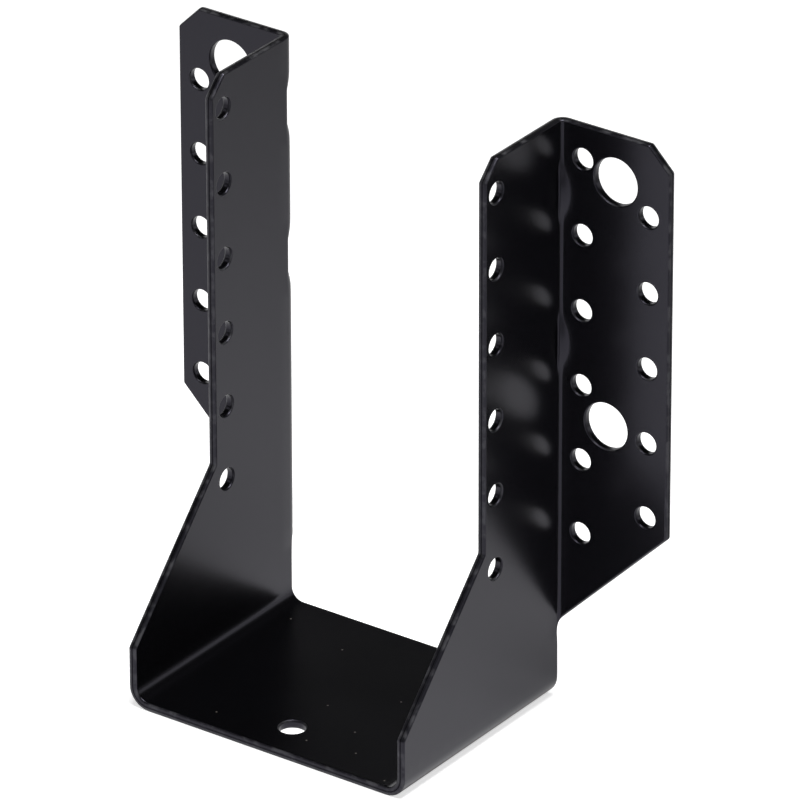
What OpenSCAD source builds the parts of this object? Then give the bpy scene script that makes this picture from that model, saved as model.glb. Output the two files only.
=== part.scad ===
// Joist hanger, folded from one piece of steel sheet: a seat that the joist
// stands on, two legs that hold its sides, and a flange turned outward from
// the back of each leg, to be fixed to the face of a header beam.
//
// X runs across the joist and Z is up. The header face is at the back, on the
// +Y side, and the open front faces -Y. The origin is the middle of the
// overall width and depth, at the underside of the seat.

/* [Joist] */
// Width of the joist, between the inner faces of the legs
joist_width = 70; // [45:1:140]
// Depth of the seat, from the header face to its front edge
seat_depth = 60; // [48:1:100]
// Overall height, from the underside of the seat to the top edges
height = 140; // [122:1:220]

/* [Sheet] */
// Thickness of the sheet
sheet = 2; // [1.2:0.1:2.5]
// Inner radius of the two bends between the seat and the legs
seat_bend = 3; // [1:0.5:5]
// Inner radius of the two bends between the legs and the flanges
flange_bend = 0.8; // [0.6:0.1:1.6]

/* [Legs] */
// Depth of the upper leg, from the header face to its front edge
leg_depth = 30; // [26:1:40]
// Cut across the top front corner of each leg, along each edge
leg_corner = 4.5; // [2:0.5:5]
// Height at which the leg's front edge starts to slope out to the seat
slope_top = 47; // [34:1:60]
// Height at which that slope reaches the front of the seat
slope_bottom = 14.5; // [10:0.5:25]

/* [Flanges] */
// Width of each flange, from the joist face to its outer edge
flange_width = 30; // [28:1:38]
// Cut across the top outer corner of each flange, along each edge
flange_corner = 5.5; // [2:0.5:7]
// Height of each flange's lower outer corner
flange_bottom = 47; // [42:1:48]
// Rise of each flange's lower edge, from the bend out to that corner
flange_slope = 45; // [30:1:48]
// Radius of the relief where that lower edge runs into the leg's back edge
relief_radius = 4; // [3:0.5:6]

/* [Nail holes] */
// Diameter of the nail holes
nail_hole = 5; // [3:0.1:5.5]
// Spacing of the nail holes up each column
nail_pitch = 18; // [16:0.5:24]
// Top edge to the first nail hole of the legs and of the inner columns
nail_top = 8; // [7:0.5:10]
// Lowest height that a nail hole may have in the legs and inner columns
nail_lowest = 42; // [38:1:56]
// Joist face to the inner column on each flange
inner_column = 7.5; // [7:0.1:8]
// Outer edge of the flange to its outer column
outer_column = 5.5; // [4:0.1:6]
// Front edge of the upper leg to its column
leg_column = 4; // [3.5:0.1:8]

/* [Bolt holes] */
// Diameter of the bolt holes
bolt_hole = 11; // [8:0.5:11.5]
// Joist face to the upper bolt hole
upper_bolt_out = 16; // [15.5:0.1:16.5]
// Top edge to the upper bolt hole
upper_bolt_down = 11; // [10:0.5:12]
// Joist face to the lower bolt hole
lower_bolt_out = 14; // [13:0.5:15]
// Top edge to the lower bolt hole
lower_bolt_down = 70; // [68:0.5:72]

/* [Seat hole] */
// Diameter of the hole in the seat
seat_hole = 6; // [3:0.5:12]
// Front edge of the seat to that hole
seat_hole_back = 10; // [8:0.5:24]

/* [Gussets] */
// Length of each gusset pressed into a flange bend
gusset_length = 13; // [8:0.5:15]
// Reach of each gusset onto the leg and onto the flange
gusset_reach = 2; // [1.5:0.1:2.5]
// Outer rows between one gusset and the next
gusset_rows = 2; // [2:1:3]

/* [Hidden] */
$fn = 96;
// Overshoot of a cut beyond the face it passes through
past = 1;

joist_face = joist_width / 2;
leg_face = joist_face + sheet;
flange_edge = joist_face + flange_width;
header_face = seat_depth / 2;
seat_front = -header_face;
leg_front = header_face - leg_depth;
// The bends start behind the legs, and the flanges start beside them. Below the
// flanges, the legs and the seat reach back to the plane of the flanges' fronts.
bend_start = header_face - sheet - flange_bend;
flange_start = leg_face + flange_bend;
seat_back = header_face - sheet;

// The flange's lower edge, followed inward as if the sheet were flat, and the
// height at which the relief turns it into the back edge of the leg
bend_length = PI / 2 * (flange_bend + sheet / 2);
slope_length = flange_edge - flange_start + bend_length - (seat_back - bend_start);
slope_end = flange_bottom - slope_length * tan(flange_slope);
relief_start = slope_end - relief_radius * tan((90 - flange_slope) / 2);

nail_rows = floor((height - nail_top - nail_lowest) / nail_pitch) + 1;
inner_heights = [for (row = [0 : nail_rows - 1]) height - nail_top - row * nail_pitch];
outer_heights = [for (row = [0 : nail_rows - 2]) inner_heights[row] - nail_pitch / 2];
gusset_heights = [outer_heights[0], outer_heights[gusset_rows]];

// Each gusset is the skin of a ball whose centre lies this far behind the
// sheet's outer faces, so that it shows as a lens of the length and reach given
gusset_set_back = (pow(gusset_length / 2, 2) - pow(gusset_reach, 2)) / (2 * gusset_reach);
gusset_radius = sqrt(2 * pow(gusset_set_back, 2) + pow(gusset_length / 2, 2));

module both_sides() {
    for (side = [0, 1])
        mirror([side, 0, 0])
            children();
}

// Quarter ring of sheet around the origin, from the -X axis to the -Y axis
module bend_profile(inner_radius) {
    outer_radius = inner_radius + sheet;
    intersection() {
        difference() {
            circle(r = outer_radius);
            circle(r = inner_radius);
        }
        translate([-outer_radius, -outer_radius])
            square(outer_radius);
    }
}

// Half of the seat's section and one leg, seen from the front
module leg_and_seat_profile() {
    bend_top = sheet + seat_bend;
    square([joist_face - seat_bend, sheet]);
    translate([joist_face - seat_bend, bend_top])
        mirror([1, 0])
            bend_profile(seat_bend);
    translate([joist_face, bend_top])
        square([sheet, height - bend_top]);
}

// What the blank lacks in front of a leg: its slope, front edge and top corner
module leg_front_cut() {
    polygon([
        [seat_front - past, slope_bottom],
        [seat_front, slope_bottom],
        [leg_front, slope_top],
        [leg_front, height - leg_corner],
        [leg_front + leg_corner, height],
        [leg_front + leg_corner, height + past],
        [seat_front - past, height + past],
    ]);
}

// What a leg leaves to the bend of its flange, above the relief
module leg_back_cut() {
    translate([bend_start, relief_start])
        square([flange_bend + past, height - relief_start + past]);
}

// The channel that holds the joist
module channel() {
    difference() {
        translate([0, seat_back, 0])
            rotate([90, 0, 0])
                linear_extrude(seat_back - seat_front)
                    both_sides()
                        leg_and_seat_profile();
        translate([-leg_face - past, 0, 0])
            rotate([90, 0, 90])
                linear_extrude(2 * (leg_face + past)) {
                    leg_front_cut();
                    leg_back_cut();
                }
    }
}

// One flange with its bend, seen from above, and a stub of the leg before it
module flange_profile() {
    translate([joist_face, bend_start - sheet])
        square(sheet);
    translate([flange_start, bend_start])
        mirror([0, 1])
            bend_profile(flange_bend);
    translate([flange_start, header_face - sheet])
        square([flange_edge - flange_start, sheet]);
}

// What the blank lacks around a flange: its top corner and its lower edge
module flange_cut() {
    polygon([
        [flange_edge - flange_corner, height + past],
        [flange_edge - flange_corner, height],
        [flange_edge, height - flange_corner],
        [flange_edge + past, height - flange_corner],
        [flange_edge + past, height + past],
    ]);
    polygon([
        [leg_face, relief_start - past],
        [leg_face, flange_bottom - (flange_edge - leg_face) * tan(flange_slope)],
        [flange_edge, flange_bottom],
        [flange_edge + past, flange_bottom],
        [flange_edge + past, relief_start - past],
    ]);
}

// The flange on the +X side, with the relief that runs into the leg's back edge
module flange() {
    difference() {
        translate([0, 0, relief_start])
            linear_extrude(height - relief_start)
                flange_profile();
        translate([0, header_face + past, 0])
            rotate([90, 0, 0])
                linear_extrude(header_face - bend_start + 2 * past)
                    flange_cut();
        translate([joist_face - past, seat_back + relief_radius, relief_start])
            rotate([0, 90, 0])
                cylinder(r = relief_radius, h = sheet + past);
    }
}

// Places its child at each gusset of the +X side
module at_gussets() {
    for (z = gusset_heights)
        translate([leg_face - gusset_set_back, header_face - sheet + gusset_set_back, z])
            children();
}

// The outer skin of the gussets, which fills the corner in front of the bend
module gusset_bulges() {
    reach = sheet / 2 + gusset_reach + past;
    intersection() {
        at_gussets()
            sphere(r = gusset_radius);
        translate([leg_face - sheet / 2, header_face - sheet / 2 - reach, 0])
            cube([reach, reach, height]);
    }
}

module gusset_dents() {
    at_gussets()
        sphere(r = gusset_radius - sheet);
}

// A hole through a flange, out from the joist face and up from the seat
module flange_hole(out, up, diameter) {
    translate([joist_face + out, header_face + past, up])
        rotate([90, 0, 0])
            cylinder(d = diameter, h = sheet + 2 * past);
}

module flange_holes() {
    for (up = inner_heights)
        flange_hole(inner_column, up, nail_hole);
    for (up = outer_heights)
        flange_hole(flange_width - outer_column, up, nail_hole);
    flange_hole(upper_bolt_out, height - upper_bolt_down, bolt_hole);
    flange_hole(lower_bolt_out, height - lower_bolt_down, bolt_hole);
}

module leg_holes() {
    for (up = inner_heights)
        translate([joist_face - past, leg_front + leg_column, up])
            rotate([0, 90, 0])
                cylinder(d = nail_hole, h = sheet + 2 * past);
}

module hanger() {
    color([0.09, 0.09, 0.1])
        difference() {
            union() {
                channel();
                both_sides() {
                    flange();
                    gusset_bulges();
                }
            }
            both_sides() {
                gusset_dents();
                flange_holes();
                leg_holes();
            }
            translate([0, seat_front + seat_hole_back, -past])
                cylinder(d = seat_hole, h = sheet + 2 * past);
        }
}

hanger();
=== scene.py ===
# %% [markdown]
# A joist hanger is one piece of sheet steel, punched flat, folded four times and
# powder coated black. This notebook makes it in the same order as the press shop
# does: cut the flat blank, round its cut edges, fold it, press the gussets, and
# coat it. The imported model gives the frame, and the new sheet stays inside it.

import math

import bmesh
import bpy
from mathutils import Matrix, Vector
from mathutils.geometry import delaunay_2d_cdt
from mathutils.kdtree import KDTree


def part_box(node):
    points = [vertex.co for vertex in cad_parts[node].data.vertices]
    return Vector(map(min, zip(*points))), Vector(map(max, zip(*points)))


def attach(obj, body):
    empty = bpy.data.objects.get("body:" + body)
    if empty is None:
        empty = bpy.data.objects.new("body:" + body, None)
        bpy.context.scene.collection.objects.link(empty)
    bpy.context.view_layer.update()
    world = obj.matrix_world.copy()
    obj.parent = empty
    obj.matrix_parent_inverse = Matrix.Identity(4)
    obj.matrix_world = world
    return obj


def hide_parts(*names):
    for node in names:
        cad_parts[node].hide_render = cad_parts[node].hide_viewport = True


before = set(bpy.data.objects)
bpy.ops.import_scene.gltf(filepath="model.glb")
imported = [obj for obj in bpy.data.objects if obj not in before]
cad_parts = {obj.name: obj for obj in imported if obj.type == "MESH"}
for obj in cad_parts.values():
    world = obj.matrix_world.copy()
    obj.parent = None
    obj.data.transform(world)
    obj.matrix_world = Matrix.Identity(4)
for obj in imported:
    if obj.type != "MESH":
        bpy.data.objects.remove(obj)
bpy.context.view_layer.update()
low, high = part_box("hanger")
to_mm = 1000
print("hanger box in millimetres:", [round(to_mm * side, 2) for side in high - low])

# %% [markdown]
# The overall width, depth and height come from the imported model. The rest are
# the sizes that a drawing of the part would give: the sheet, the inner radius of
# each kind of bend, the cuts across the corners and the slopes.

# %% Sizes of the sheet, in metres
flange_edge = high.x
header_face = high.y
seat_front = low.y
height = high.z

sheet = 0.002
seat_bend = 0.003
flange_bend = 0.0008

joist_face = 0.035
leg_face = joist_face + sheet
leg_depth = 0.030
leg_front = header_face - leg_depth
leg_corner = 0.0045
slope_top = 0.047
slope_bottom = 0.0145

flange_start = leg_face + flange_bend
seat_back = header_face - sheet
flange_corner = 0.0055
flange_bottom = 0.047
flange_slope = math.radians(45)
relief_radius = 0.004
corner_radius = 0.0008
print("flange width in millimetres:", round(to_mm * (flange_edge - joist_face), 2))

# %% [markdown]
# A folded sheet is easiest to model flat, because every cut is then a plain
# outline. The blank has two directions: across it, out over the seat and up a
# leg, and along it, back over the seat and out over a flange. The middle of the
# sheet keeps its length in a bend, so a bend takes up an arc of that middle.

# %% Flat places of the bends
def bend_length(inner_radius):
    """Length of the sheet's middle round a right-angled bend."""
    return math.pi / 2 * (inner_radius + sheet / 2)


seat_bend_start = joist_face - seat_bend
seat_bend_end = seat_bend_start + bend_length(seat_bend)
flange_bend_start = header_face - sheet - flange_bend
flange_bend_end = flange_bend_start + bend_length(flange_bend)


def up_leg(z):
    """Distance across the blank of a height on a leg."""
    return seat_bend_end + z - sheet - seat_bend


def out_flange(x):
    """Distance along the blank of a distance out on a flange."""
    return flange_bend_end + x - flange_start


print("blank in millimetres:", round(to_mm * 2 * up_leg(height), 1), "across")

# %% [markdown]
# The outline of the blank is a short list of corners, each with the radius it is
# turned with. Only the relief, where a flange's lower edge runs into the back of
# the leg, has a large one. The left half repeats the right half, mirrored.

# %% Corners of the blank
slope_run = out_flange(flange_edge) - seat_back
slope_end = flange_bottom - slope_run * math.tan(flange_slope)
relief_start = slope_end - relief_radius * math.tan((math.pi / 2 - flange_slope) / 2)
half_outline = [
    (up_leg(slope_bottom), seat_front, corner_radius),
    (up_leg(slope_top), leg_front, corner_radius),
    (up_leg(height - leg_corner), leg_front, corner_radius),
    (up_leg(height), leg_front + leg_corner, corner_radius),
    (up_leg(height), out_flange(flange_edge - flange_corner), corner_radius),
    (up_leg(height - flange_corner), out_flange(flange_edge), corner_radius),
    (up_leg(flange_bottom), out_flange(flange_edge), corner_radius),
    (up_leg(slope_end), seat_back, relief_radius),
]
corners = half_outline + [
    (-across, along, radius) for across, along, radius in reversed(half_outline)
]
print("corners of the blank:", len(corners))

# %% [markdown]
# A punch and the coat leave no corner quite sharp. Each corner becomes an arc that
# touches both its sides. Its centre lies on the line that halves the corner, and
# the arc is divided so finely that it reads as round in a close view.

# %% Turn the corners
longest_arc_step = 0.0005
fewest_arc_steps = 3


def neighbours(points):
    """Each point of a closed loop with the one before it and the one after it."""
    return zip(points[-1:] + points[:-1], points, points[1:] + points[:1])


def turned(corner_list):
    """Points of a closed outline whose corners are turned with their own radii."""
    points = []
    for before, here, after in neighbours(corner_list):
        corner = Vector(here[:2])
        back = (Vector(before[:2]) - corner).normalized()
        ahead = (Vector(after[:2]) - corner).normalized()
        half_angle = back.angle(ahead) / 2
        centre = corner + (back + ahead).normalized() * here[2] / math.sin(half_angle)
        start = corner + back * here[2] / math.tan(half_angle) - centre
        turn = math.copysign(math.pi - 2 * half_angle, -back.cross(ahead))
        steps = max(fewest_arc_steps, math.ceil(abs(turn) * here[2] / longest_arc_step))
        for step in range(steps + 1):
            points.append(centre + Matrix.Rotation(turn * step / steps, 2) @ start)
    return points


outline = turned(corners)
print("points round the outline:", len(outline))

# %% [markdown]
# The nail holes stand in columns, one pitch apart. The outer column of a flange
# is half a pitch lower than the inner one, so that no two nails share a line of
# the timber. Each flange also has two bolt holes, and the seat has one hole.

# %% Places of the holes on the blank
nail_hole = 0.005
bolt_hole = 0.011
seat_hole = 0.006
nail_pitch = 0.018
nail_rows = 6
nail_top = 0.008
inner_column_out = 0.0075
outer_column_in = 0.0055
leg_column_back = 0.004
upper_bolt_out, upper_bolt_down = 0.016, 0.011
lower_bolt_out, lower_bolt_down = 0.014, 0.070
seat_hole_back = 0.010

inner_heights = [height - nail_top - row * nail_pitch for row in range(nail_rows)]
outer_heights = [up - nail_pitch / 2 for up in inner_heights[:-1]]
inner_column = out_flange(joist_face + inner_column_out)
outer_column = out_flange(flange_edge - outer_column_in)
leg_column = leg_front + leg_column_back
upper_bolt = (up_leg(height - upper_bolt_down), out_flange(joist_face + upper_bolt_out))
lower_bolt = (up_leg(height - lower_bolt_down), out_flange(joist_face + lower_bolt_out))

holes = [(Vector((0, seat_front + seat_hole_back)), seat_hole / 2)]
for side in (1, -1):
    for up in inner_heights:
        holes.append((Vector((side * up_leg(up), inner_column)), nail_hole / 2))
        holes.append((Vector((side * up_leg(up), leg_column)), nail_hole / 2))
    for up in outer_heights:
        holes.append((Vector((side * up_leg(up), outer_column)), nail_hole / 2))
    for across, along in (upper_bolt, lower_bolt):
        holes.append((Vector((side * across, along)), bolt_hole / 2))
print("holes:", len(holes))

# %% [markdown]
# A bend needs rows of points that run along it, or its shading would ripple. A few
# rows are enough for a right angle, because the faces are shaded smooth.

# %% Rows of the bends
bend_steps = 8


def rows_between(start, end):
    """Evenly spaced rows through a bend, both its ends included."""
    return [start + (end - start) * step / bend_steps for step in range(bend_steps + 1)]


seat_bend_rows = rows_between(seat_bend_start, seat_bend_end)
both_seat_rows = seat_bend_rows + [-row for row in seat_bend_rows]
flange_bend_rows = rows_between(flange_bend_start, flange_bend_end)
print("rows through each bend:", len(seat_bend_rows))

# %% [markdown]
# The outline gets a point wherever a row will meet it, and then points in between,
# so that no edge is much longer than the triangles inside it. A hole is a ring of
# short, even steps.

# %% Loops to cut
longest_edge = 0.002
hole_step = 0.0004
tiny = 0.00001


def with_crossings(points, axis, levels):
    """The same outline, with a point wherever it crosses a level along an axis."""
    crossed = []
    for _, here, after in neighbours(points):
        crossed.append(here)
        near, far = sorted((here[axis], after[axis]))
        met = sorted(level for level in levels if near + tiny < level < far - tiny)
        if here[axis] > after[axis]:
            met.reverse()
        for level in met:
            share = (level - here[axis]) / (after[axis] - here[axis])
            crossed.append(here.lerp(after, share))
    return crossed


def divided(points, longest):
    """The same outline with its long edges divided evenly."""
    finer = []
    for _, here, after in neighbours(points):
        parts = math.ceil((after - here).length / longest - tiny)
        for part in range(max(1, parts)):
            finer.append(here.lerp(after, part / max(1, parts)))
    return finer


def circle(centre, radius):
    """A hole's loop, which runs clockwise, so that the metal lies on its left."""
    count = round(2 * math.pi * radius / hole_step)
    angles = [-2 * math.pi * step / count for step in range(count)]
    return [centre + radius * Vector((math.cos(a), math.sin(a))) for a in angles]


edge = with_crossings(outline, 0, both_seat_rows)
edge = with_crossings(edge, 1, flange_bend_rows)
loops = [divided(edge, longest_edge)]
loops += [circle(centre, radius) for centre, radius in holes]
print("points on all the cut edges:", sum(len(loop) for loop in loops))

# %% [markdown]
# Shearing rolls a cut edge over and the coat draws round it, so no edge of the
# sheet is square, and that roundness is what catches the light. Each cut edge is
# a band of narrow rings from one face to the other: a ring just inside the flat
# face, so that the flat shades flat, then a quarter of an ellipse, the wall of
# the cut, and a quarter back. The sheared outline is domed over its whole
# thickness, and the punched holes keep more of a wall.

# %% Profile of a cut edge
sheared_edge = (0.0004, sheet / 2)
punched_edge = (0.0003, 0.0006)
edge_margin = 0.0001
edge_steps = 5


def edge_profile(depth, rise):
    """Rings of a cut edge: how far each lies into the metal, its level and its roundness."""
    outer_half = [(depth + edge_margin, sheet / 2, 0.0)]
    for step in range(edge_steps + 1):
        angle = math.pi / 2 * step / edge_steps
        inset = depth * (1 - math.sin(angle))
        drop = rise * (1 - math.cos(angle))
        outer_half.append((inset, sheet / 2 - drop, math.sin(2 * angle)))
    inner_half = [(inset, -level, roundness) for inset, level, roundness in reversed(outer_half)]
    # Where the two quarters meet, their shared ring in the middle is kept only once
    return outer_half + [ring for ring in inner_half if ring[1] < 0 or rise < sheet / 2]


edge_kinds = [sheared_edge] + [punched_edge] * len(holes)


def moved_in(points, distance):
    """A loop moved by a distance into the metal, which lies on its left."""
    moved = []
    for before, here, after in neighbours(points):
        first = (here - before).normalized()
        second = (after - here).normalized()
        left = Vector((-first.y - second.y, first.x + second.x)).normalized()
        share = left.dot(Vector((-second.y, second.x)))
        moved.append(here + left * distance / share)
    return moved


print("rings round the outline:", len(edge_profile(*sheared_edge)))

# %% [markdown]
# Two gussets stand in each flange bend. Each is part of a ball, and the ball's
# radius follows from the length of the gusset up the bend and from how far it
# reaches onto the leg and the flange. They are settled before the mesh is made,
# because it has to be finer where they will be pressed.

# %% Sizes and places of the gussets
gusset_length = 0.013
gusset_reach = 0.002
gusset_rows = 2
gusset_heights = [outer_heights[0], outer_heights[gusset_rows]]
gusset_set_back = ((gusset_length / 2) ** 2 - gusset_reach ** 2) / (2 * gusset_reach)
gusset_radius = math.hypot(gusset_set_back, gusset_set_back, gusset_length / 2)
print("gusset ball in millimetres:", round(to_mm * gusset_radius, 2))

# %% [markdown]
# The faces between the cut edges are filled by a constrained Delaunay
# triangulation, which keeps every loop as it is and joins loose points between
# them. On the flat parts those points are an even lattice, which gives triangles
# of one size.

# %% Loose points on the flat parts
lattice = 0.0026
lattice_row = lattice * math.sqrt(3) / 2
row_step = 0.0015


def steps_over(start, end, step):
    """Evenly spaced values over a range, both its ends included."""
    count = max(1, round((end - start) / step))
    return [start + (end - start) * index / count for index in range(count + 1)]


def lattice_points():
    """An even triangular lattice over the whole blank, clear of the bends."""
    found = []
    widest = up_leg(height)
    for number, along in enumerate(steps_over(seat_front, out_flange(flange_edge), lattice_row)):
        shift = lattice / 2 * (number % 2)
        for across in steps_over(-widest, widest, lattice):
            place = Vector((across + shift, along))
            in_seat_bend = seat_bend_start - row_step < abs(place.x) < seat_bend_end + row_step
            in_flange_bend = (
                abs(place.x) > seat_bend_end
                and flange_bend_start - row_step < along < flange_bend_end + row_step
            )
            if not in_seat_bend and not in_flange_bend:
                found.append(place)
    return found


loose = lattice_points()
print("loose points on the flat parts:", len(loose))

# %% [markdown]
# The bends get points in rows along them. Where the gussets will be pressed, these
# rows are joined by others beside the bend and set closer, as a fine net. A flange
# bend fades out just below the relief, so its rows go down that far.

# %% Loose points in the bends
net = 0.0005
nets_to_a_row = 3
net_margin = 0.0015
bend_fade = 0.003


def seat_bend_points():
    """Rows of points along the two bends between the seat and the legs."""
    found = []
    for along in steps_over(seat_front, flange_bend_start, row_step)[1:-1]:
        for across in both_seat_rows:
            found.append(Vector((across, along)))
    return found


def flange_bend_points():
    """Rows of points along the two flange bends, more and closer beside a gusset."""
    found = []
    lowest = relief_start - bend_fade
    margins = steps_over(net, gusset_reach + net_margin, net)
    beside = [flange_bend_start - margin for margin in margins]
    beside += [flange_bend_end + margin for margin in margins]
    for up in steps_over(lowest, height, net):
        pressed = any(
            abs(up - centre) < gusset_length / 2 + net_margin for centre in gusset_heights
        )
        count = round((up - lowest) / net)
        if not pressed and count % nets_to_a_row:
            continue
        for along in flange_bend_rows + (beside if pressed else []):
            found.append(Vector((up_leg(up), along)))
            found.append(Vector((-up_leg(up), along)))
    return found


loose += seat_bend_points() + flange_bend_points()
print("loose points in all:", len(loose))

# %% [markdown]
# The face ends where the rings of its cut edges begin, a little inside each loop.
# A loose point in a hole is of no use, and one that nearly touches an edge would
# make a sliver, so both kinds are dropped.

# %% Points that the face keeps
clearance = 0.0004
face_inset = punched_edge[0] + edge_margin
face_loops = [
    moved_in(loop, depth + edge_margin) for loop, (depth, _) in zip(loops, edge_kinds)
]
loop_points = [point for loop in face_loops for point in loop]
nearest = KDTree(len(loop_points))
for index, point in enumerate(loop_points):
    nearest.insert(point.to_3d(), index)
nearest.balance()


def in_a_hole(point):
    """Whether a point of the blank lies in the loop that a hole leaves in the face."""
    return any((point - centre).length < radius + face_inset for centre, radius in holes)


inside = [
    point for point in loose
    if nearest.find(point.to_3d())[2] > clearance and not in_a_hole(point)
]
print("loose points kept:", len(inside))

# %% [markdown]
# The triangulation keeps every edge of a loop. It also fills the holes, and those
# triangles are left out again by the place of their middle.

# %% Triangles of the face
only_inside_outline = 1
merge_distance = 1e-7

loop_edges = []
first = 0
for loop in face_loops:
    count = len(loop)
    loop_edges += [(first + step, first + (step + 1) % count) for step in range(count)]
    first += count

flat_points, _, triangles, sources, _, _ = delaunay_2d_cdt(
    loop_points + inside, loop_edges, [], only_inside_outline, merge_distance
)


def middle(triangle):
    """Middle of a triangle of the face."""
    return sum((flat_points[index] for index in triangle), Vector((0, 0))) / 3


triangles = [triangle for triangle in triangles if not in_a_hole(middle(triangle))]
print("triangles on one face:", len(triangles))
print("points added by the triangulation:", sum(not source for source in sources))

# %% [markdown]
# Folding is a function from a place on the blank to a place in space. A point
# keeps its height off the middle of the sheet, so the outside of a bend comes out
# longer than the inside, as it does in steel.

# %% Fold the seat bends and the flange bends
def bent_share(distance):
    """How much of the flange bend a height has: none on the seat, all above the relief."""
    share = (distance - up_leg(relief_start)) / bend_fade + 1
    share = min(max(share, 0), 1)
    return share * share * (3 - 2 * share)


def fold(across, along, level):
    """Place in space of a point of the blank; level is its height on the outer side."""
    side = math.copysign(1, across)
    distance = abs(across)
    turn = (distance - seat_bend_start) / (seat_bend + sheet / 2)
    turn = min(max(turn, 0), math.pi / 2)
    radius = seat_bend + sheet / 2 + level
    x = min(distance, seat_bend_start) + radius * math.sin(turn)
    z = sheet + seat_bend - radius * math.cos(turn) + max(0, distance - seat_bend_end)
    straight = Vector((side * x, along, z))
    if along <= flange_bend_start or not bent_share(distance):
        return straight
    turn = (along - flange_bend_start) / (flange_bend + sheet / 2)
    turn = min(turn, math.pi / 2)
    radius = flange_bend + sheet / 2 - level
    x = flange_start - radius * math.cos(turn) + max(0, along - flange_bend_end)
    y = flange_bend_start + radius * math.sin(turn)
    bent = press(Vector((side * x, y, z)), side, level)
    return straight.lerp(bent, bent_share(distance))


# %% [markdown]
# A gusset is a dent that a rounded punch leaves in the corner of a bend, and it
# keeps the flange from opening. Metal inside the ball of the punch moves out to
# the ball's skin. A soft maximum blends the lens into the bend, because steel
# never creases sharply there.

# %% Press the gussets
blend = 0.0005
# Number of blend widths beyond which a ball no longer moves the metal
far_off = 20


def press(place, side, level):
    """Moves a place in a flange bend out to the skin of the nearest gusset's ball."""
    for up in gusset_heights:
        centre = Vector((
            side * (leg_face - gusset_set_back),
            header_face - sheet + gusset_set_back,
            up,
        ))
        away = place - centre
        skin = gusset_radius - sheet / 2 + level
        short = (away.length - skin) / blend
        if short < far_off:
            place = centre + away.normalized() * (skin + blend * math.log1p(math.exp(short)))
    return place


beside_bend = Vector((leg_face, flange_bend_start, gusset_heights[0]))
print("beside the bend, in a gusset:", press(beside_bend, 1, sheet / 2))

# %% [markdown]
# The solid has two copies of the face, one on each side of the sheet, and the
# rings of the cut edges between them. All of it is built flat in one list of
# places, folded point by point, and then joined where the rings meet the faces.

# %% Build the folded sheet
def build_sheet():
    """The whole hanger as one closed mesh, with the roundness of its edges kept."""
    built = bmesh.new()
    arris = built.verts.layers.float.new("arris")

    def add(place, level, roundness=0.0):
        """Adds a vertex where the fold takes a place of the blank."""
        vertex = built.verts.new(fold(place.x, place.y, level))
        vertex[arris] = roundness
        return vertex

    outer_face = {}
    inner_face = {}
    for triangle in triangles:
        for index in triangle:
            if index not in outer_face:
                outer_face[index] = add(flat_points[index], sheet / 2)
                inner_face[index] = add(flat_points[index], -sheet / 2)
        built.faces.new([outer_face[index] for index in reversed(triangle)])
        built.faces.new([inner_face[index] for index in triangle])

    numbered = {source[0]: index for index, source in enumerate(sources) if source}
    first = 0
    for loop, edge_kind in zip(loops, edge_kinds):
        numbers = [numbered[first + step] for step in range(len(loop))]
        first += len(loop)
        rings = [[outer_face[number] for number in numbers]]
        for inset, level, roundness in edge_profile(*edge_kind)[1:-1]:
            rings.append([add(place, level, roundness) for place in moved_in(loop, inset)])
        rings.append([inner_face[number] for number in numbers])
        for ring, following in zip(rings, rings[1:]):
            for step in range(len(loop)):
                around = (step + 1) % len(loop)
                built.faces.new([ring[step], following[step], following[around], ring[around]])

    bmesh.ops.recalc_face_normals(built, faces=built.faces)
    for face in built.faces:
        face.smooth = True
    return built


built = build_sheet()
open_edges = sum(not part.is_manifold for part in built.edges)
print("faces:", len(built.faces), "open edges:", open_edges)
print("volume in cubic millimetres:", round(to_mm ** 3 * built.calc_volume(), 1))

# %% [markdown]
# The finished mesh becomes an object. It rides on the one body of the model and
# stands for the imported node, which stays only for collisions. It also names the
# slot of the record that it takes its finish from.

# %% The sheet in the scene
sheet_mesh = bpy.data.meshes.new("hanger_sheet")
built.to_mesh(sheet_mesh)
built.free()
hanger_sheet = bpy.data.objects.new("hanger_sheet", sheet_mesh)
bpy.context.scene.collection.objects.link(hanger_sheet)
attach(hanger_sheet, "root")
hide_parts("hanger")
print("piece:", hanger_sheet.name, "with", len(sheet_mesh.vertices), "points")

# %% [markdown]
# Powder coat is sprayed on dry and melted in an oven into a semi-gloss skin. Its
# finish is built from small effects, each in a node group of its own with named
# sockets, so that any coated part can use it. These helpers keep the trees short:
# an operand may be a plain number or the socket of another node.

# %% Node helpers
def new_group(name, inputs, output, kind="NodeSocketFloat"):
    """A shader node group with named number inputs and one named output."""
    group = bpy.data.node_groups.new(name, "ShaderNodeTree")
    for title, default in inputs.items():
        socket = group.interface.new_socket(title, in_out="INPUT", socket_type="NodeSocketFloat")
        socket.default_value = default
    group.interface.new_socket(output, in_out="OUTPUT", socket_type=kind)
    given = group.nodes.new("NodeGroupInput").outputs
    result = group.nodes.new("NodeGroupOutput").inputs[output]
    return group, given, result


def feed(tree, socket, operand):
    """Gives a socket a value, or a link from another socket."""
    if isinstance(operand, bpy.types.NodeSocket):
        tree.links.new(operand, socket)
    else:
        socket.default_value = operand


def maths(tree, operation, first, second):
    """A Math node; each operand is a socket or a number."""
    node = tree.nodes.new("ShaderNodeMath")
    node.operation = operation
    feed(tree, node.inputs[0], first)
    feed(tree, node.inputs[1], second)
    return node.outputs[0]


def noise(tree, size, detail):
    """Noise over the object, with patches of a size in metres."""
    node = tree.nodes.new("ShaderNodeTexNoise")
    node.inputs["Detail"].default_value = detail
    feed(tree, node.inputs["Vector"], tree.nodes.new("ShaderNodeTexCoord").outputs["Object"])
    feed(tree, node.inputs["Scale"], maths(tree, "DIVIDE", 1.0, size))
    return node.outputs["Fac"]


print("node helpers ready")

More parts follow.
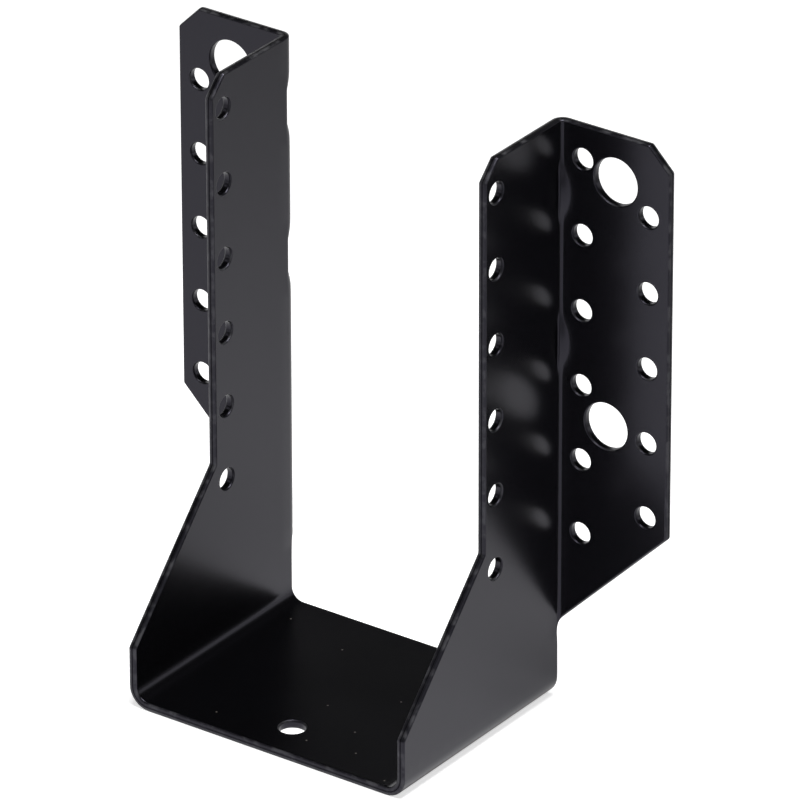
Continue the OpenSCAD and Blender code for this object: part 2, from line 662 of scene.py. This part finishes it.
# %% [markdown]
# The molten powder levels out with a faint waviness, called orange peel, which is
# far too fine to model. A bump from noise gives it. The sizes of the waves are in
# metres, so that they stay true on a part of any size.

# %% Orange peel
peel_detail = 1.5


def make_orange_peel():
    """Soft waves in a coat, as a normal."""
    group, given, normal = new_group(
        "orange_peel", {"Wave Size": 0.001, "Wave Depth": 0.00001}, "Normal", "NodeSocketVector"
    )
    bump = group.nodes.new("ShaderNodeBump")
    feed(group, bump.inputs["Height"], noise(group, given["Wave Size"], peel_detail))
    feed(group, bump.inputs["Distance"], given["Wave Depth"])
    feed(group, normal, bump.outputs["Normal"])
    return group


orange_peel = make_orange_peel()
print("group:", orange_peel.name)

# %% [markdown]
# The film isn't equally glossy everywhere. Where the powder lay thick it flowed
# out and shines, and where it lay thin it stayed a little dull, in cloudy patches
# some centimetres wide, with a finer mottle over them. Both come from noise. Its
# mean is taken off, so that the patches lie evenly about the gloss of the coat.

# %% Film gloss
noise_mean = 0.5
cloud_detail = 3.0
mottle_detail = 2.0
mottle_size = 0.06
mottle_strength = 0.5


def make_film_gloss():
    """Roughness of a coat, with cloudy patches and a finer mottle."""
    group, given, roughness = new_group(
        "film_gloss", {"Roughness": 0.25, "Spread": 0.05, "Patch Size": 0.02}, "Roughness"
    )
    clouds = noise(group, given["Patch Size"], cloud_detail)
    fine_size = maths(group, "MULTIPLY", given["Patch Size"], mottle_size)
    mottle = noise(group, fine_size, mottle_detail)
    uneven = maths(group, "ADD", clouds, maths(group, "MULTIPLY", mottle, mottle_strength))
    uneven = maths(group, "SUBTRACT", uneven, noise_mean * (1 + mottle_strength))
    spread = maths(group, "MULTIPLY", uneven, given["Spread"])
    feed(group, roughness, maths(group, "ADD", given["Roughness"], spread))
    return group


film_gloss = make_film_gloss()
print("group:", film_gloss.name)

# %% [markdown]
# Molten powder draws back from a sharp edge, so the film is thinnest there and
# the first to rub through. The mesh carries how round each ring of a cut edge is,
# and noise breaks that band up into short worn stretches. The grey that this mask
# lays on the arrises is partly that wear and partly a painted sheen along them.

# %% Thin edges and painted sheen
wear_and_sheen_detail = 4.0
wear_and_sheen_softness = 0.1


def ramp(tree, value, start, end):
    """A soft step: 0 where the value is at the start, 1 where it is at the end."""
    node = tree.nodes.new("ShaderNodeMapRange")
    node.interpolation_type = "SMOOTHSTEP"
    feed(tree, node.inputs["Value"], value)
    feed(tree, node.inputs["From Min"], start)
    feed(tree, node.inputs["From Max"], end)
    return node.outputs["Result"]


def make_thin_edges_and_sheen():
    """Mask of the stretches of an edge where the coat is thin or rubbed, and of a painted sheen
    along them.
    """
    group, given, mask = new_group(
        "thin_edges_and_sheen", {"Arris": 0.0, "Patch Size": 0.004, "Share": 0.4}, "Mask"
    )
    # The worn stretches also carry a painted sheen along the arrises
    patches = noise(group, given["Patch Size"], wear_and_sheen_detail)
    middle_of_step = maths(group, "SUBTRACT", 1.0, given["Share"])
    start = maths(group, "SUBTRACT", middle_of_step, wear_and_sheen_softness)
    end = maths(group, "ADD", middle_of_step, wear_and_sheen_softness)
    worn_and_sheen = ramp(group, patches, start, end)
    feed(group, mask, maths(group, "MULTIPLY", worn_and_sheen, given["Arris"]))
    return group


thin_edges_and_sheen = make_thin_edges_and_sheen()
print("group:", thin_edges_and_sheen.name)

# %% [markdown]
# A black seat shows every grain of dust that settles on it. The grains are dots
# in a loose grid of cells seen from above. Only a share of the cells holds one,
# and only faces that look up keep it.

# %% Dust grains
# Upward part of the normal of a face that starts to hold dust, and of one that does
sloping_up, facing_up = 0.9, 0.99


def make_dust_grains():
    """Mask of single grains on faces that look up."""
    group, given, mask = new_group(
        "dust_grains", {"Cell Size": 0.005, "Grain Size": 0.0003, "Share": 0.1}, "Mask"
    )
    cells = group.nodes.new("ShaderNodeTexVoronoi")
    cells.voronoi_dimensions = "2D"
    feed(group, cells.inputs["Vector"], group.nodes.new("ShaderNodeTexCoord").outputs["Object"])
    feed(group, cells.inputs["Scale"], maths(group, "DIVIDE", 1.0, given["Cell Size"]))
    reach = maths(group, "DIVIDE", given["Grain Size"], given["Cell Size"])
    grain = ramp(group, cells.outputs["Distance"], reach, 0.0)
    chance = group.nodes.new("ShaderNodeSeparateColor")
    feed(group, chance.inputs["Color"], cells.outputs["Color"])
    held = maths(group, "LESS_THAN", chance.outputs["Red"], given["Share"])
    facing = group.nodes.new("ShaderNodeSeparateXYZ")
    feed(group, facing.inputs["Vector"], group.nodes.new("ShaderNodeNewGeometry").outputs["Normal"])
    upward = ramp(group, facing.outputs["Z"], sloping_up, facing_up)
    feed(group, mask, maths(group, "MULTIPLY", maths(group, "MULTIPLY", grain, held), upward))
    return group


dust_grains = make_dust_grains()
print("group:", dust_grains.name)

# %% [markdown]
# In a material, each group is placed with its own values, and a mask that it gives
# chooses between two colours.

# %% Helpers for a material
def place_group(tree, group, values):
    """Puts a node group in a material with its own values."""
    node = tree.nodes.new("ShaderNodeGroup")
    node.node_tree = group
    for title, value in values.items():
        node.inputs[title].default_value = value
    return node


# A Mix node has sockets for each kind of data, and these are the places of its colours
mix_first, mix_second, mix_result = 6, 7, 2


def mixed(tree, mask, first, second):
    """One colour where the mask is 0 and another where it is 1."""
    node = tree.nodes.new("ShaderNodeMix")
    node.data_type = "RGBA"
    feed(tree, node.inputs["Factor"], mask)
    feed(tree, node.inputs[mix_first], first)
    feed(tree, node.inputs[mix_second], second)
    return node.outputs[mix_result]


print("helpers for a material ready")

# %% [markdown]
# The coat is a near-black skin with a faint violet cast in its shine. The cut
# edges are a little duller than the rolled faces, because the broken steel under
# the film is rough. Where the film is thin, the grey of the metal comes through,
# and the same grey is also a painted sheen along the arrises.

# %% The black powder coat
coat_black = (0.0014, 0.0014, 0.0017, 1)
# Grey of worn film on the arrises, which is also a painted sheen there
thin_film_and_sheen_grey = (0.05, 0.05, 0.053, 1)
dust_grey = (0.11, 0.10, 0.085, 1)
shine_tint = (0.82, 0.79, 1.0, 1)
coat_roughness = 0.25
edge_roughness = 0.14
dust_roughness = 0.9
coat_ior = 1.43
peel_wave_size, peel_wave_depth = 0.0012, 0.000004
gloss_spread, gloss_patch = 0.06, 0.02
worn_and_sheen_patch, worn_and_sheen_share = 0.003, 0.45
dust_cell, dust_grain, dust_share = 0.006, 0.00032, 0.12


def make_coat():
    """Semi-gloss black powder coat."""
    material = bpy.data.materials.new("black_powder_coat")
    material.use_nodes = True
    tree = material.node_tree
    shader = tree.nodes["Principled BSDF"]
    arris = tree.nodes.new("ShaderNodeAttribute")
    arris.attribute_name = "arris"
    worn_and_sheen = place_group(tree, thin_edges_and_sheen, {"Patch Size": worn_and_sheen_patch, "Share": worn_and_sheen_share})
    feed(tree, worn_and_sheen.inputs["Arris"], arris.outputs["Fac"])
    dust = place_group(
        tree,
        dust_grains,
        {"Cell Size": dust_cell, "Grain Size": dust_grain, "Share": dust_share},
    )
    # Grey on the arrises: partly worn film, partly painted sheen
    film_and_sheen = mixed(tree, worn_and_sheen.outputs["Mask"], coat_black, thin_film_and_sheen_grey)
    feed(tree, shader.inputs["Base Color"], mixed(tree, dust.outputs["Mask"], film_and_sheen, dust_grey))
    gloss = place_group(
        tree,
        film_gloss,
        {"Roughness": coat_roughness, "Spread": gloss_spread, "Patch Size": gloss_patch},
    )
    edged = maths(tree, "MULTIPLY", arris.outputs["Fac"], edge_roughness)
    dull = maths(tree, "ADD", gloss.outputs["Roughness"], edged)
    dusty = maths(tree, "MULTIPLY", dust.outputs["Mask"], dust_roughness)
    feed(tree, shader.inputs["Roughness"], maths(tree, "MAXIMUM", dull, dusty))
    peel = place_group(
        tree, orange_peel, {"Wave Size": peel_wave_size, "Wave Depth": peel_wave_depth}
    )
    feed(tree, shader.inputs["Normal"], peel.outputs["Normal"])
    shader.inputs["IOR"].default_value = coat_ior
    shader.inputs["Specular Tint"].default_value = shine_tint
    return material


hanger_sheet.data.materials.append(make_coat())
print("materials on the sheet:", [kept.name for kept in hanger_sheet.data.materials])

# %% [markdown]
# The camera stands to the right of the hanger and above it, far off with a long
# lens, so that upright edges stay nearly parallel as they are in the photograph.

# %% Camera
camera_azimuth = math.radians(35.714)
camera_elevation = math.radians(27.093)
camera_roll = math.radians(-0.112)
camera_distance = 2.118
camera_lens = 439.86
camera_sensor = 36
camera_reach = 100
aim = Vector((0.0049, 0.0135, 0.0694))

backward = Vector((
    math.sin(camera_azimuth) * math.cos(camera_elevation),
    -math.cos(camera_azimuth) * math.cos(camera_elevation),
    math.sin(camera_elevation),
))
camera_data = bpy.data.cameras.new("camera")
camera_data.lens = camera_lens
camera_data.sensor_width = camera_sensor
camera_data.clip_end = camera_reach
camera = bpy.data.objects.new("camera", camera_data)
turned_camera = backward.to_track_quat("Z", "Y").to_matrix() @ Matrix.Rotation(camera_roll, 3, "Z")
camera.matrix_world = Matrix.Translation(aim + backward * camera_distance) @ turned_camera.to_4x4()
bpy.context.scene.collection.objects.link(camera)
bpy.context.scene.camera = camera
print("camera at", [round(value, 3) for value in camera.matrix_world.translation])

# %% [markdown]
# The hanger stands on plain paper. The paper is only scenery, so it rides on
# nothing.

# %% Floor
floor_half_side = 6
floor_mesh = bpy.data.meshes.new("floor")
shape = bmesh.new()
bmesh.ops.create_grid(shape, x_segments=1, y_segments=1, size=floor_half_side)
shape.to_mesh(floor_mesh)
shape.free()

floor = bpy.data.objects.new("floor", floor_mesh)
bpy.context.scene.collection.objects.link(floor)
print("floor side in metres:", 2 * floor_half_side)

# %% [markdown]
# Part of the paper's white comes from the lamps, so that it holds a faint shadow.
# The rest is given only to what the camera sees and what is mirrored in the coat,
# so that it adds no light to the hanger. A Light Path node tells these rays apart.
# The mirrored share is the weaker one, because the real coat mirrors mostly the
# pool of light on the paper, which fades with distance.

# %% White paper
paper_white = 0.7
paper_mirrored = 0.3
paper_colour = (0.8, 0.8, 0.8, 1)
paper_roughness = 0.9
white = (1, 1, 1, 1)


def seen(tree, by_camera, in_mirrors):
    """One value for rays from the camera, one in mirrors and glass, and 0 for light."""
    path = tree.nodes.new("ShaderNodeLightPath")
    mirrored = maths(
        tree, "MAXIMUM", path.outputs["Is Glossy Ray"], path.outputs["Is Transmission Ray"]
    )
    mirrored = maths(tree, "MULTIPLY", mirrored, in_mirrors)
    straight = maths(tree, "MULTIPLY", path.outputs["Is Camera Ray"], by_camera)
    return maths(tree, "MAXIMUM", straight, mirrored)


floor_material = bpy.data.materials.new("floor_paper")
floor_material.use_nodes = True
tree = floor_material.node_tree
shader = tree.nodes["Principled BSDF"]
shader.inputs["Base Color"].default_value = paper_colour
shader.inputs["Roughness"].default_value = paper_roughness
shader.inputs["Specular IOR Level"].default_value = 0.0
shader.inputs["Emission Color"].default_value = white
feed(tree, shader.inputs["Emission Strength"], seen(tree, paper_white, paper_mirrored))
floor.data.materials.append(floor_material)
print("material on the floor:", floor_material.name)

# %% [markdown]
# A coat this black shows the paper that it mirrors more than the light that falls
# on it. A softbox hangs over the hanger, a little to its right, and points at the
# paper to the front left, so that the pool of light there fades with distance. A
# weaker one stands on that side and gives the sloping cut edges their sheen.

# %% Lamps
softbox_side = 0.45
softbox_spread = math.radians(90)


def softbox(name, place, target, power):
    """A square lamp that faces a target."""
    data = bpy.data.lights.new(name, "AREA")
    data.size = softbox_side
    data.energy = power
    data.spread = softbox_spread
    lamp = bpy.data.objects.new(name, data)
    place = Vector(place)
    facing = (place - Vector(target)).to_track_quat("Z", "Y").to_matrix().to_4x4()
    lamp.matrix_world = Matrix.Translation(place) @ facing
    bpy.context.scene.collection.objects.link(lamp)
    print("lamp:", lamp.name, [round(value, 2) for value in lamp.location])


softbox("overhead", place=(0.16, -0.1, 0.9), target=(-0.12, -0.18, 0), power=3.1)
softbox("front_left", place=(-1.04, -1.0, 1.12), target=(0, 0, height / 2), power=0.2)

# %% [markdown]
# Behind the floor the paper sweeps up as a low white backdrop, and the rest of
# the room is dark. Its reflection is the grey band along the top edges and the
# soft line in the bends of the seat, while the flat seat mirrors the dark above
# it. The world gives that sweep to what the camera sees and what is mirrored,
# and stays dim as a light.

# %% World
sweep_top = math.sin(math.radians(20))
sweep_full = math.sin(math.radians(12))
sweep_white = 1.0
room = (0.012, 0.012, 0.012, 1)

world = bpy.data.worlds.new("studio")
world.use_nodes = True
tree = world.node_tree
aimed = tree.nodes.new("ShaderNodeSeparateXYZ")
feed(tree, aimed.inputs["Vector"], tree.nodes.new("ShaderNodeTexCoord").outputs["Generated"])
sweep = ramp(tree, aimed.outputs["Z"], sweep_top, sweep_full)
shown = maths(tree, "MULTIPLY", sweep, seen(tree, sweep_white, sweep_white))
feed(tree, tree.nodes["Background"].inputs["Color"], mixed(tree, shown, room, white))
bpy.context.scene.world = world
bpy.context.scene.view_settings.view_transform = "Standard"
print("sweep rises to", round(math.degrees(math.asin(sweep_top))), "degrees")
